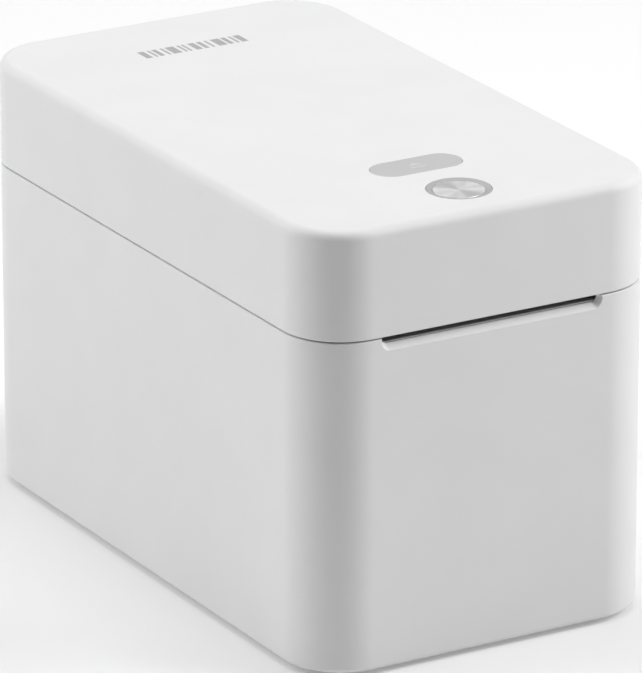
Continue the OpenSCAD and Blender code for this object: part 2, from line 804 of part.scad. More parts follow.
module open_button() {
    flange_z = z_lid_ceiling - 0.15;
    color("#c9cbcd") translate([0, pill_y, 0]) {
        translate([0, 0, flange_z - EPS]) linear_extrude(z_top - flange_z) pill(pill_l, pill_w);
        translate([0, 0, flange_z - 1]) linear_extrude(1) pill(pill_l + 2.4, pill_w + 2.4);
        translate([0, 0, latch_z + latch_tail_t / 2 + stem_gap])
            cylinder(h = flange_z - latch_z - latch_tail_t / 2 - stem_gap, r = 1.2);
    }
}

module open_button_spring() {
    low = frame_plate_z + frame_plate_t + 0.02;
    high = z_lid_ceiling - 1.17;
    color(STEEL) translate([0, pill_y, low]) coil_spring(2.6, 0.2, 4, high - low);
}

module latch_bar() {
    color("#55585c") {
        x_rod(-hook_x - hook_w / 2, hook_x + hook_w / 2, [latch_y, latch_z], latch_shaft_r);
        side_slice(-6, 12) {
            translate([latch_y - latch_tail, latch_z - latch_tail_t / 2])
                square([latch_tail, latch_tail_t]);
        }
        for (x = [-hook_x, hook_x])
            side_slice(x - hook_w / 2, hook_w) {
                translate([hook_shank_y0, hook_low])
                    square([hook_shank_y1 - hook_shank_y0, latch_z - hook_low]);
                nose = hook_slot_y0 + 0.15;
                polygon([[hook_shank_y0 + EPS, hook_low], [nose, hook_low + 1.6],
                    [nose, hook_low + 2.6], [hook_shank_y0 + EPS, hook_low + 2.9]]);
            }
    }
}

module latch_spring() {
    low = z_liner + liner_t + 0.02;
    high = latch_z - latch_tail_t / 2 - 0.02;
    color(STEEL) translate([0, latch_y - 6, low]) coil_spring(1.8, 0.2, 7, high - low);
}

module button_frame() {
    x = 17;
    color("#e8e8e6") difference() {
        union() {
            box([-x, -74.5, frame_plate_z], [x, -40.6, frame_plate_z + frame_plate_t]);
            for (sx = [-1, 1], y = [-73.5, -42.1])
                translate([sx * (x - 2) - 1, y - 1, frame_plate_z])
                    cube([2, 2, z_lid_ceiling - frame_plate_z]);
        }
        translate([0, pill_y, 0]) cylinder(h = BIG, r = 1.35);
        for (p = frame_screw_at) translate([p[0], p[1], 0]) cylinder(h = BIG, r = 1.2);
        translate([0, -56, 0]) linear_extrude(BIG) rounded_rect(16, 3, 1);
    }
}

module frame_screws() {
    color(STEEL) for (p = frame_screw_at)
        translate([p[0], p[1], frame_plate_z]) rotate([180, 0, 0]) screw(2, 1, 0.9, 6);
}

button_low = z_top - 3.4;

module power_button() {
    color(STEEL) translate([0, power_y, 0]) {
        translate([0, 0, z_top - 1.4]) cylinder(h = 1.2, r = disc_d / 2);
        translate([0, 0, button_low]) cylinder(h = z_top - 1.4 - button_low + EPS, r = disc_d / 2 - 0.9);
        translate([0, 0, button_low - 0.6]) cylinder(h = 0.8, r = disc_d / 2 + 0.6);
    }
}

module power_ring() {
    z = z_lid_ceiling;
    color("#b9bcbf") translate([0, power_y, 0]) difference() {
        union() {
            translate([0, 0, z - 0.4]) cylinder(h = z_top - z + 0.4, r = ring_d / 2 - 0.02);
            translate([0, 0, z - 0.8]) cylinder(h = 0.8, r = ring_d / 2 + 1.2);
        }
        cylinder(h = BIG, r = disc_d / 2 + 0.15);
        translate([0, 0, z - 5]) cylinder(h = 5.3, r = disc_d / 2 + 0.85);
    }
}

board2_z = frame_plate_z + frame_plate_t;

module power_board() {
    color("darkgreen") box([-13, -73, board2_z], [13, -58, board2_z + 1]);
}

module power_switch() {
    color("#222222") box([-3, power_y - 3, board2_z + 1], [3, power_y + 3, board2_z + 2.6]);
    color("#222222") translate([0, power_y, board2_z + 2.6 - EPS])
        cylinder(h = 1 + EPS, r = 1.6);
}

// ---------- print head ----------

module head_cradle() {
    y0 = -73;
    y1 = -48.9;
    color(STEEL) difference() {
        union() {
            box([-cradle_x, y0, cradle_z], [cradle_x, y1, cradle_z + cradle_t]);
            for (x = [-cradle_x, cradle_x - cradle_t])
                box([x, y0 + 12, z_liner + liner_t + 0.4], [x + cradle_t, y1, cradle_z + EPS]);
            box([-cradle_x, y1 - cradle_t, z_liner + liner_t], [cradle_x, y1, cradle_z + EPS]);
            for (x = [-26, 14])
                box([x, y1 - EPS, z_liner + liner_t], [x + 12, y1 + 4, z_liner + liner_t + 1]);
        }
        x_rod(-BIG / 2, BIG / 2, head_pivot, head_pin_r);
        box([-12, y1 - 3, z_liner + liner_t + 2], [12, y1 + 1, cradle_z - 1.5]);
        translate([0, -56, 0]) linear_extrude(BIG) rounded_rect(24, 4, 1);
    }
}

module head_pivot_pin() {
    color(STEEL) x_rod(-cradle_x - 0.6, cradle_x + 0.6, head_pivot, head_pin_r);
}

bracket_z = head_z + head_t + sink_t;
bracket_y0 = -72;

module head_bracket() {
    color("#aeb2b6") difference() {
        union() {
            box([-29.6, bracket_y0, bracket_z], [29.6, -56.4, bracket_z + bracket_t]);
            for (x = [-29.6, 29.6 - bracket_t])
                side_slice(x, bracket_t) {
                    translate([-60, bracket_z]) square([60 + head_pivot[0], 3.2]);
                    translate(head_pivot) circle(2.4);
                }
        }
        x_rod(-BIG / 2, BIG / 2, head_pivot, head_pin_r + running);
    }
}

module heat_sink() {
    y0 = -71.5;
    y1 = -58.2;
    fins = 5;
    color("lightgray") difference() {
        box([-head_half, y0, head_z + head_t], [head_half, y1, bracket_z]);
        for (i = [1 : fins])
            box([-BIG, y0 + 4 + i * 1.7, head_z + head_t + 1.4],
                [BIG, y0 + 4.8 + i * 1.7, bracket_z - 0.8]);
    }
}

module thermal_head() {
    color("#efe9dc") box([-head_half, -71, head_z], [head_half, -60, head_z + head_t]);
}

module head_spring(x) {
    low = bracket_z + bracket_t + 0.02;
    high = cradle_z - 0.02;
    color(STEEL) translate([x, spring_y, low]) coil_spring(2.6, 0.3, 5, high - low);
}
module head_spring_left() head_spring(-spring_x);
module head_spring_right() head_spring(spring_x);

module head_ribbon() {
    color("#d9dcdf") side_slice(-10, 20)
        polygon([[-59.9, head_z + 0.35], [-57.4, head_z + 0.35], [-57.4, head_z + 3.4],
            [-57.7, head_z + 3.4], [-57.7, head_z + 0.6], [-59.9, head_z + 0.6]]);
}

lower_case();
bottom_cover();
case_screws();
foot_front_left();
foot_front_right();
foot_rear_left();
foot_rear_right();
roll_tub();
tub_screws();
tear_bar();
guide_cover();
left_roll_guide();
right_roll_guide();
guide_pinion();
print_frame();
platen_bush_left();
platen_bush_right();
platen_shaft();
platen_sleeve();
platen_gear();
idler_stud();
idler_gear();
stepper_motor();
motor_screws();
motor_shaft();
motor_pinion();
gap_sensor();
main_board();
board_screws();
dc_inlet();
usb_port();
lid_shell();
lid_liner();
liner_screws();
hinge_pin();
open_button();
open_button_spring();
latch_bar();
latch_spring();
button_frame();
frame_screws();
power_button();
power_ring();
power_board();
power_switch();
head_cradle();
head_pivot_pin();
head_bracket();
heat_sink();
thermal_head();
head_spring_left();
head_spring_right();
head_ribbon();
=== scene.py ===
"""Looks of the desktop thermal label printer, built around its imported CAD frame."""
import json
import math

import bmesh
import bpy
from mathutils import Matrix, Vector


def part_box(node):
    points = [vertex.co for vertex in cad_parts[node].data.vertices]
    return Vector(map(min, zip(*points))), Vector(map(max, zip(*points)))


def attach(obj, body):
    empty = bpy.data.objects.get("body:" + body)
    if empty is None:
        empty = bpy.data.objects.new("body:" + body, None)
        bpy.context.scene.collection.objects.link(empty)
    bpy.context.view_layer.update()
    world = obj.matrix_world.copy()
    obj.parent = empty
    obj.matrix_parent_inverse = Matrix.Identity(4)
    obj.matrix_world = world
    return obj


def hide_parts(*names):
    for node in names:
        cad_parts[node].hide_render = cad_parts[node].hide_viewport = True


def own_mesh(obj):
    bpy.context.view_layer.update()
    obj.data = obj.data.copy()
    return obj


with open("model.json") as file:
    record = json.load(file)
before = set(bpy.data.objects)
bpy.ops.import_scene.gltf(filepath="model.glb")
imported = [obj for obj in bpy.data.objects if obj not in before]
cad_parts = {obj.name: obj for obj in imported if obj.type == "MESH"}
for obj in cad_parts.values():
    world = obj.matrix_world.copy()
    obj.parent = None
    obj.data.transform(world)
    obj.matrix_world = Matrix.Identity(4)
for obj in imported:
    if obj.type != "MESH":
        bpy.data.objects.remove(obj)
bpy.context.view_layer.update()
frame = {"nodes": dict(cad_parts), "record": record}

MM = 0.001


# ---------- sizes, in metres, from the frame ----------

joints = {j["name"]: j for j in frame["record"]["behaviour"]["joints"]}
case_low, case_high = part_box("lower_case")
lid_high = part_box("lid_shell")[1]
HALF_W = case_high.x
HALF_L = case_high.y
BOTTOM_Z = case_low.z
TOP_Z = lid_high.z
HINGE_Y, HINGE_Z = joints["lid_hinge"]["pos_m"][1:]
SEAM_Z = HINGE_Z
HINGE_R = HALF_L - HINGE_Y

CORNER_R = 14.6 * MM
TOP_FILLET = 2.4 * MM
BOTTOM_FILLET = 1.3 * MM
WALL = 2.4 * MM
SEAM_HALF = 0.15 * MM
SEAM_EDGE = 0.35 * MM
HINGE_CLEAR = 0.3 * MM
FRONT_Y = -HALF_L
HINGE_RELIEF = HINGE_R + HINGE_CLEAR
FAR = 60 * MM


# ---------- mesh helpers ----------

def new_object(name, bm, smooth_angle=30):
    """Turns a bmesh into an object with smooth shading and sharp edges past an angle."""
    mesh = bpy.data.meshes.new(name)
    bm.normal_update()
    bm.to_mesh(mesh)
    bm.free()
    obj = bpy.data.objects.new(name, mesh)
    bpy.context.scene.collection.objects.link(obj)
    shade(obj, smooth_angle)
    return obj


def shade(obj, smooth_angle):
    for poly in obj.data.polygons:
        poly.use_smooth = True
    obj.data.set_sharp_from_angle(angle=math.radians(smooth_angle))


def weighted(obj):
    """Lets the large flat faces keep flat normals next to their fillets."""
    mod = obj.modifiers.new("weighted", "WEIGHTED_NORMAL")
    mod.keep_sharp = True
    mod.weight = 60


def carve(obj, cutters, operation="DIFFERENCE"):
    """Applies Boolean cutters to an object and removes them."""
    for cutter in cutters:
        mod = obj.modifiers.new("carve", "BOOLEAN")
        mod.operation = operation
        mod.solver = "EXACT"
        mod.object = cutter
        depsgraph = bpy.context.evaluated_depsgraph_get()
        mesh = bpy.data.meshes.new_from_object(obj.evaluated_get(depsgraph))
        obj.modifiers.clear()
        old = obj.data
        obj.data = mesh
        bpy.data.meshes.remove(old)
        old_cut = cutter.data
        bpy.data.objects.remove(cutter)
        bpy.data.meshes.remove(old_cut)


def bridge(bm, low, high):
    """Joins two closed loops of the same length with quads."""
    n = len(low)
    for i in range(n):
        k = (i + 1) % n
        bm.faces.new((low[i], low[k], high[k], high[i]))


def rounded_loop(half_w, half_l, radius, steps=14):
    """Counter-clockwise outline of a rounded rectangle, as (x, y) points."""
    points = []
    for sx, sy, start in ((1, 1, 0), (-1, 1, 90), (-1, -1, 180), (1, -1, 270)):
        cx, cy = sx * (half_w - radius), sy * (half_l - radius)
        for i in range(steps + 1):
            a = math.radians(start + 90 * i / steps)
            points.append((cx + radius * math.cos(a), cy + radius * math.sin(a)))
    return points


def case_loop(bm, inset, z, steps=14):
    outline = rounded_loop(HALF_W - inset, HALF_L - inset, CORNER_R - inset, steps)
    return [bm.verts.new((x, y, z)) for x, y in outline]


def circle_loop(bm, cx, cy, z, radius, steps=64):
    return [bm.verts.new((cx + radius * math.cos(math.tau * i / steps),
                          cy + radius * math.sin(math.tau * i / steps), z))
            for i in range(steps)]


def pill_loop(bm, cy, z, half_l, half_w, steps=24):
    """Closed outline of a pill lying along X around (0, cy)."""
    verts = []
    for side, start in ((1, -90), (-1, 90)):
        for i in range(steps + 1):
            a = math.radians(start + 180 * i / steps)
            x = side * (half_l - half_w) + half_w * math.cos(a)
            verts.append(bm.verts.new((x, cy + half_w * math.sin(a), z)))
    return verts


def fill_between(bm, outer, holes=()):
    """Fills the flat region between an outer loop and its holes."""
    edges = []
    for loop in (outer, *holes):
        for i, v in enumerate(loop):
            w = loop[(i + 1) % len(loop)]
            edges.append(bm.edges.get((v, w)) or bm.edges.new((v, w)))
    bmesh.ops.triangle_fill(bm, use_beauty=True, use_dissolve=False, edges=edges)


def cylinder_x(name, x0, x1, y, z, radius, steps=64):
    bm = bmesh.new()
    ends = []
    for x in (x0, x1):
        ends.append([bm.verts.new((x, y + radius * math.cos(math.tau * i / steps),
                                   z + radius * math.sin(math.tau * i / steps)))
                     for i in range(steps)])
    bridge(bm, *ends)
    for loop in ends:
        bm.faces.new(loop)
    bmesh.ops.recalc_face_normals(bm, faces=bm.faces)
    return new_object(name, bm)


def tube_y(name, x, z, radius, y0, y1, flat_half=0, steps=32):
    """Round or pill-shaped cutter along Y."""
    bm = bmesh.new()
    rings = []
    for y in (y0, y1):
        ring = []
        for side, start in ((1, -90), (-1, 90)):
            for i in range(steps + 1):
                a = math.radians(start + 180 * i / steps)
                if flat_half or i < steps:
                    ring.append(bm.verts.new((x + side * flat_half + radius * math.cos(a), y,
                                              z + radius * math.sin(a))))
        rings.append(ring)
    bridge(bm, *rings)
    for ring in rings:
        bm.faces.new(ring)
    bmesh.ops.recalc_face_normals(bm, faces=bm.faces)
    return new_object(name, bm)


def extrude_x(name, outline, x0, x1, smooth_angle=30):
    """Closed (y, z) outline drawn out along X."""
    bm = bmesh.new()
    ends = [[bm.verts.new((x, y, z)) for y, z in outline] for x in (x0, x1)]
    bridge(bm, *ends)
    for loop in ends:
        bm.faces.new(loop)
    bmesh.ops.recalc_face_normals(bm, faces=bm.faces)
    return new_object(name, bm, smooth_angle)


def block(name, low, high):
    bm = bmesh.new()
    size = Vector(high) - Vector(low)
    centre = (Vector(high) + Vector(low)) / 2
    bmesh.ops.create_cube(bm, size=1, matrix=Matrix.Translation(centre) @ Matrix.Diagonal((*size, 1)))
    return new_object(name, bm)


def arc_steps(radius, count):
    """(inset, drop) pairs of a quarter-round edge, from the wall to the flat face."""
    for i in range(count + 1):
        a = math.radians(90 * i / count)
        yield radius * (1 - math.cos(a)), radius * (1 - math.sin(a))


def lathe(name, outline, steps=96):
    """Turns a closed (radius, z) outline about the upright axis; radius 0 makes a tip."""
    bm = bmesh.new()
    rings = []
    for radius, z in outline:
        if radius > 0:
            rings.append(circle_loop(bm, 0, 0, z, radius, steps))
        else:
            rings.append([bm.verts.new((0, 0, z))])
    for a, b in zip(rings, rings[1:] + rings[:1]):
        if len(a) == len(b) == 1:
            continue
        if len(a) == 1 or len(b) == 1:
            tip, loop = (a[0], b) if len(a) == 1 else (b[0], a)
            for i in range(steps):
                bm.faces.new((loop[i], loop[(i + 1) % steps], tip))
        else:
            bridge(bm, a, b)
    bmesh.ops.recalc_face_normals(bm, faces=bm.faces)
    return new_object(name, bm)


def flat_plates(name, outlines, z0, z1, smooth_angle=30):
    """Thin upright prisms of several closed (x, y) outlines."""
    bm = bmesh.new()
    for outline in outlines:
        low, high = ([bm.verts.new((x, y, z)) for x, y in outline] for z in (z0, z1))
        bridge(bm, low, high)
        bm.faces.new(low)
        bm.faces.new(high)
    bmesh.ops.recalc_face_normals(bm, faces=bm.faces)
    return new_object(name, bm, smooth_angle)


def coil(name, x, y, z0, z1, radius, wire_r, turns, per_turn=40, sides=12):
    """Compression spring with closed ends, standing between z0 and z1."""
    rise = z1 - z0 - 2 * wire_r
    closed = 0.9
    pitch = (rise - 2 * closed * 2 * wire_r) / (turns - 2 * closed)
    count = int(turns * per_turn)
    bm = bmesh.new()
    rings = []
    for i in range(count + 1):
        t = i / per_turn
        z = z0 + wire_r + 2 * wire_r * min(t, closed)
        z += pitch * max(0, min(t, turns - closed) - closed) + 2 * wire_r * max(0, t - turns + closed)
        a = math.tau * t
        ring = []
        for k in range(sides):
            w = math.tau * k / sides
            d = radius + wire_r * math.cos(w)
            ring.append(bm.verts.new((x + d * math.cos(a), y + d * math.sin(a), z + wire_r * math.sin(w))))
        rings.append(ring)
    for a, b in zip(rings, rings[1:]):
        bridge(bm, a, b)
    bm.faces.new(rings[0])
    bm.faces.new(rings[-1])
    bmesh.ops.recalc_face_normals(bm, faces=bm.faces)
    return new_object(name, bm, 50)


# ---------- materials ----------

def principled(name, color, roughness=0.5, metallic=0.0):
    mat = bpy.data.materials.new(name)
    mat.use_nodes = True
    shader = mat.node_tree.nodes["Principled BSDF"]
    shader.inputs["Base Color"].default_value = (*color, 1)
    shader.inputs["Roughness"].default_value = roughness
    shader.inputs["Metallic"].default_value = metallic
    return mat, shader


def add_node(mat, kind, **values):
    node = mat.node_tree.nodes.new(kind)
    for key, value in values.items():
        if key in node.inputs.keys():
            node.inputs[key].default_value = value
        else:
            setattr(node, key, value)
    return node


def mottle(mat, shader, color, spread, scale, grain, grain_scale, rough, rough_spread):
    """Gives a moulded surface slight colour and roughness variation and a fine grain."""
    links = mat.node_tree.links
    coords = add_node(mat, "ShaderNodeTexCoord")
    broad = add_node(mat, "ShaderNodeTexNoise", Scale=scale, Detail=3.0)
    links.new(coords.outputs["Object"], broad.inputs["Vector"])
    tint = add_node(mat, "ShaderNodeValToRGB")
    low = [c * (1 - spread) for c in color]
    high = [min(1.0, c * (1 + spread)) for c in color]
    tint.color_ramp.elements[0].position = 0.3
    tint.color_ramp.elements[1].position = 0.7
    tint.color_ramp.elements[0].color = (*low, 1)
    tint.color_ramp.elements[1].color = (*high, 1)
    links.new(broad.outputs["Fac"], tint.inputs["Fac"])
    links.new(tint.outputs["Color"], shader.inputs["Base Color"])
    fine = add_node(mat, "ShaderNodeTexNoise", Scale=grain_scale, Detail=4.0, Roughness=0.6)
    links.new(coords.outputs["Object"], fine.inputs["Vector"])
    sheen = add_node(mat, "ShaderNodeMapRange")
    sheen.inputs["To Min"].default_value = rough - rough_spread
    sheen.inputs["To Max"].default_value = rough + rough_spread
    links.new(fine.outputs["Fac"], sheen.inputs["Value"])
    links.new(sheen.outputs["Result"], shader.inputs["Roughness"])
    bump = add_node(mat, "ShaderNodeBump", Strength=grain, Distance=0.02 * MM)
    links.new(fine.outputs["Fac"], bump.inputs["Height"])
    links.new(bump.outputs["Normal"], shader.inputs["Normal"])
    return mat


def moulded(name, color, rough=0.5, grain=0.25, grain_scale=4200, spread=0.012):
    mat, shader = principled(name, color, rough)
    return mottle(mat, shader, color, spread, 60, grain, grain_scale, rough, 0.04)


def metal(name, color, rough=0.3, stretch=(1, 1, 1), spread=0.06, grain=0.3):
    """Metal with a grain that can be drawn out along one axis."""
    mat, shader = principled(name, color, rough, 1.0)
    links = mat.node_tree.links
    coords = add_node(mat, "ShaderNodeTexCoord")
    mapping = add_node(mat, "ShaderNodeMapping")
    mapping.inputs["Scale"].default_value = stretch
    links.new(coords.outputs["Object"], mapping.inputs["Vector"])
    noise = add_node(mat, "ShaderNodeTexNoise", Scale=1800.0, Detail=5.0)
    links.new(mapping.outputs["Vector"], noise.inputs["Vector"])
    tint = add_node(mat, "ShaderNodeValToRGB")
    tint.color_ramp.elements[0].color = (*[c * (1 - spread) for c in color], 1)
    tint.color_ramp.elements[1].color = (*[min(1, c * (1 + spread)) for c in color], 1)
    links.new(noise.outputs["Fac"], tint.inputs["Fac"])
    links.new(tint.outputs["Color"], shader.inputs["Base Color"])
    sheen = add_node(mat, "ShaderNodeMapRange")
    sheen.inputs["To Min"].default_value = rough * 0.8
    sheen.inputs["To Max"].default_value = rough * 1.25
    links.new(noise.outputs["Fac"], sheen.inputs["Value"])
    links.new(sheen.outputs["Result"], shader.inputs["Roughness"])
    bump = add_node(mat, "ShaderNodeBump", Strength=grain, Distance=0.01 * MM)
    links.new(noise.outputs["Fac"], bump.inputs["Height"])
    links.new(bump.outputs["Normal"], shader.inputs["Normal"])
    return mat


SPUN_METALLIC = 0.48


def spun_metal(name, color, rough=0.35):
    """Turned face: concentric grooves around the object's own Z axis."""
    mat, shader = principled(name, color, rough, SPUN_METALLIC)
    shader.inputs["Anisotropic"].default_value = 0.9
    shader.inputs["Anisotropic Rotation"].default_value = 0.85
    links = mat.node_tree.links
    tangent = add_node(mat, "ShaderNodeTangent", direction_type="RADIAL", axis="Z")
    links.new(tangent.outputs["Tangent"], shader.inputs["Tangent"])
    coords = add_node(mat, "ShaderNodeTexCoord")
    rings = add_node(mat, "ShaderNodeTexWave", Scale=1600.0, Distortion=0.4, Detail=2.0)
    rings.wave_type = "RINGS"
    rings.rings_direction = "Z"
    links.new(coords.outputs["Object"], rings.inputs["Vector"])
    tint = add_node(mat, "ShaderNodeValToRGB")
    tint.color_ramp.elements[0].color = (*[c * 0.92 for c in color], 1)
    tint.color_ramp.elements[1].color = (*color, 1)
    links.new(rings.outputs["Fac"], tint.inputs["Fac"])
    links.new(tint.outputs["Color"], shader.inputs["Base Color"])
    bump = add_node(mat, "ShaderNodeBump", Strength=0.15, Distance=0.01 * MM)
    links.new(rings.outputs["Fac"], bump.inputs["Height"])
    links.new(bump.outputs["Normal"], shader.inputs["Normal"])
    return mat


CASE_WHITE = moulded("case_white", (0.76, 0.76, 0.762), rough=0.55)
INNER_GREY = moulded("inner_grey", (0.26, 0.262, 0.266), rough=0.55, grain=0.35,
                     grain_scale=3000, spread=0.03)
GUIDE_GREY = moulded("guide_grey", (0.55, 0.56, 0.58), rough=0.45)
ACETAL = moulded("acetal", (0.76, 0.75, 0.71), rough=0.38, grain=0.12)
LATCH_GREY = moulded("latch_grey", (0.06, 0.06, 0.065), rough=0.5)
BUTTON_GREY = moulded("button_grey", (0.52, 0.52, 0.52), rough=0.5)
RING_GREY = moulded("ring_grey", (0.44, 0.44, 0.445), rough=0.42)
RUBBER = moulded("foot_rubber", (0.03, 0.03, 0.03), rough=0.8, grain=0.6, grain_scale=2500, spread=0.1)
PLATEN_RUBBER = moulded("platen_rubber", (0.012, 0.012, 0.013), rough=0.62, grain=0.5, spread=0.1)
STEEL = metal("steel", (0.55, 0.55, 0.56), 0.32)
SPRING_STEEL = metal("spring_steel", (0.5, 0.5, 0.51), 0.25)
ZINC_SHEET = metal("zinc_sheet", (0.58, 0.59, 0.6), 0.4, (1, 1, 1), 0.12)
BRASS = metal("brass", (0.7, 0.52, 0.22), 0.3)
ALUMINIUM = metal("aluminium", (0.68, 0.69, 0.7), 0.38, (0.06, 1, 1))
CERAMIC = moulded("ceramic", (0.72, 0.68, 0.58), rough=0.25, grain=0.05)
BOARD_GREEN = moulded("solder_mask", (0.012, 0.09, 0.04), rough=0.35, grain=0.15, spread=0.15)
BLACK_PLASTIC = moulded("black_plastic", (0.015, 0.015, 0.016), rough=0.5, spread=0.1)
RIBBON = moulded("ribbon", (0.6, 0.62, 0.66), rough=0.3, grain=0.1)
DISC_METAL = spun_metal("disc_metal", (0.95, 0.95, 0.955))
TEAR_STEEL = metal("tear_steel", (0.46, 0.46, 0.465), 0.5, (1, 1, 0.1))
GLAZE = moulded("heater_glaze", (0.10, 0.085, 0.075), rough=0.12, grain=0.02, spread=0.05)
ICON_INK = moulded("icon_ink", (0.6, 0.6, 0.6), rough=0.45, grain=0.1)
MARK_INK = moulded("mark_ink", (0.42, 0.42, 0.43), rough=0.45, grain=0.1)

SLOT_MATERIALS = {
    "case_plastic": CASE_WHITE, "inner_plastic": INNER_GREY, "guide_plastic": GUIDE_GREY,
    "frame_plastic": ACETAL, "gear_plastic": ACETAL, "latch_plastic": LATCH_GREY,
    "button_plastic": BUTTON_GREY, "ring_plastic": RING_GREY, "disc_metal": DISC_METAL,
    "foot_rubber": RUBBER, "platen_rubber": PLATEN_RUBBER, "steel": STEEL,
    "spring_steel": SPRING_STEEL, "sheet_steel": ZINC_SHEET, "brass": BRASS,
    "aluminium": ALUMINIUM, "head_ceramic": CERAMIC, "board_green": BOARD_GREEN,
    "black_plastic": BLACK_PLASTIC, "ribbon": RIBBON,
}


def dress_nodes():
    """Gives every carried-over CAD node the material of its slot."""
    for part in frame["record"]["subparts"]:
        obj = frame["nodes"][part["node"]]
        obj.data.materials.clear()
        obj.data.materials.append(SLOT_MATERIALS[part["material_slot"]])
    frame["nodes"]["tear_bar"].data.materials[0] = TEAR_STEEL


# width of the rounded edge on each carried-over node, in millimetres
EDGE_MM = {
    "bottom_cover": 0.25, "roll_tub": 0.3, "lid_liner": 0.3, "guide_cover": 0.25,
    "left_roll_guide": 0.35, "right_roll_guide": 0.35, "print_frame": 0.12, "button_frame": 0.2,
    "latch_bar": 0.25, "head_cradle": 0.12, "head_bracket": 0.12, "heat_sink": 0.12,
    "stepper_motor": 0.3, "dc_inlet": 0.2, "power_switch": 0.15, "gap_sensor": 0.12,
    "platen_bush_left": 0.15, "platen_bush_right": 0.15, "platen_shaft": 0.25,
    "platen_sleeve": 0.25, "head_pivot_pin": 0.2, "hinge_pin": 0.2, "idler_stud": 0.1,
    "case_screws": 0.12, "tub_screws": 0.12, "liner_screws": 0.12, "board_screws": 0.1,
    "frame_screws": 0.1, "motor_screws": 0.1, "main_board": 0.08, "power_board": 0.08,
    "foot_front_left": 0.15, "foot_front_right": 0.15, "foot_rear_left": 0.15,
    "foot_rear_right": 0.15, "platen_gear": 0.06, "idler_gear": 0.06, "motor_pinion": 0.05,
    "guide_pinion": 0.06,
}


def soften_edges():
    """Small rounded edges on the carried-over CAD nodes, with their flat faces kept flat."""
    for node, width in EDGE_MM.items():
        obj = frame["nodes"][node]
        weld = obj.modifiers.new("weld", "WELD")
        weld.merge_threshold = 0.002 * MM
        flats = obj.modifiers.new("flats", "DECIMATE")
        flats.decimate_type = "DISSOLVE"
        flats.angle_limit = math.radians(1)
        bevel = obj.modifiers.new("edges", "BEVEL")
        bevel.width = width * MM
        bevel.segments = 3 if width >= 0.2 else 2
        bevel.limit_method = "ANGLE"
        bevel.angle_limit = math.radians(35)
        bevel.use_clamp_overlap = True
        bevel.miter_outer = "MITER_ARC"
        shade(obj, 40)
        normals = obj.modifiers.new("normals", "WEIGHTED_NORMAL")
        normals.keep_sharp = False
        normals.weight = 60


def place(obj, body, slot, nodes=()):
    obj.data.materials.clear()
    obj.data.materials.append(SLOT_MATERIALS[slot])
    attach(obj, body)
    if nodes:
        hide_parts(*nodes)


# ---------- outer shells ----------

SLOT_HALF = 27.7 * MM
SLOT_Z = SEAM_Z - 1.75 * MM
SLOT_CORNER = 1.3 * MM
SLOT_BEVEL = 1.35 * MM
SLOT_END_BEVEL = 0.8 * MM
LIP_T = 1.5 * MM
POCKET_HALF = 30.5 * MM
POCKET_Z = SEAM_Z - 9.4 * MM
KNUCKLE_X = 24 * MM
KNUCKLE_HALF = 4.5 * MM
KNUCKLE_DROP = 12 * MM
PIN_R = 1.2 * MM
PIN_BORE_R = 1.25 * MM
PIN_HALF = 34 * MM
COVER_INSET = 5 * MM
PILL_Y = -45.4 * MM
POWER_Y = -63.9 * MM
PILL_HALF_L = 11.25 * MM
PILL_HALF_W = 4.85 * MM
BUTTON_GAP = 0.1 * MM
RING_R = 7.45 * MM
DISC_R = 5.9 * MM
DISC_DROP = 0.3 * MM
RING_DISH = 0.3 * MM
PILL_DROP = 0.06 * MM
PILL_EDGE = 0.12 * MM
ICON_SIZE = 1.9 * MM
PRINT_H = 0.02 * MM
HEATER_Y = -65 * MM
LID_TOP = TOP_Z - PRINT_H
MARK_X0, MARK_X1 = -14.35 * MM, 12.8 * MM
MARK_Y0, MARK_Y1 = 52.3 * MM, 57.3 * MM
HOLE_EDGE = 0.12 * MM
DC_X, DC_Z, DC_R = 22 * MM, 13.2 * MM, 4.2 * MM
USB_X, USB_Z = -6 * MM, 9.6 * MM
USB_R, USB_FLAT_HALF = 2.1 * MM, 2.9 * MM


def slot_cutter():
    """Loft through the front wall: a slot with round lower corners that flares outwards."""
    bm = bmesh.new()
    steps = 12
    rings = []
    outside = 1 + 1 * MM / SLOT_BEVEL
    for depth, share in ((-1 * MM, outside), (0, 1), (SLOT_BEVEL, 0), (WALL + 2 * MM, 0)):
        rise, spread = SLOT_BEVEL * share, SLOT_END_BEVEL * share
        outline = [(-SLOT_HALF - spread, SEAM_Z + 3 * MM)]
        for side, start in ((-1, 180), (1, 270)):
            cx = side * (SLOT_HALF - SLOT_CORNER)
            cz = SLOT_Z + SLOT_CORNER
            for i in range(steps + 1):
                a = math.radians(start + 90 * i / steps)
                outline.append((cx + (SLOT_CORNER + spread) * math.cos(a),
                                cz + (SLOT_CORNER + rise) * math.sin(a)))
        outline.append((SLOT_HALF + spread, SEAM_Z + 3 * MM))
        rings.append([bm.verts.new((x, FRONT_Y + depth, z)) for x, z in outline])
    for a, b in zip(rings, rings[1:]):
        bridge(bm, a, b)
    bm.faces.new(rings[0])
    bm.faces.new(rings[-1])
    bmesh.ops.recalc_face_normals(bm, faces=bm.faces)
    return new_object("slot_cutter", bm)


def stack_loops(bm, profile):
    """Case-shaped loops at (inset, z) stations, joined from first to last."""
    loops = [case_loop(bm, inset, z) for inset, z in profile]
    for a, b in zip(loops, loops[1:]):
        bridge(bm, a, b)
    return loops


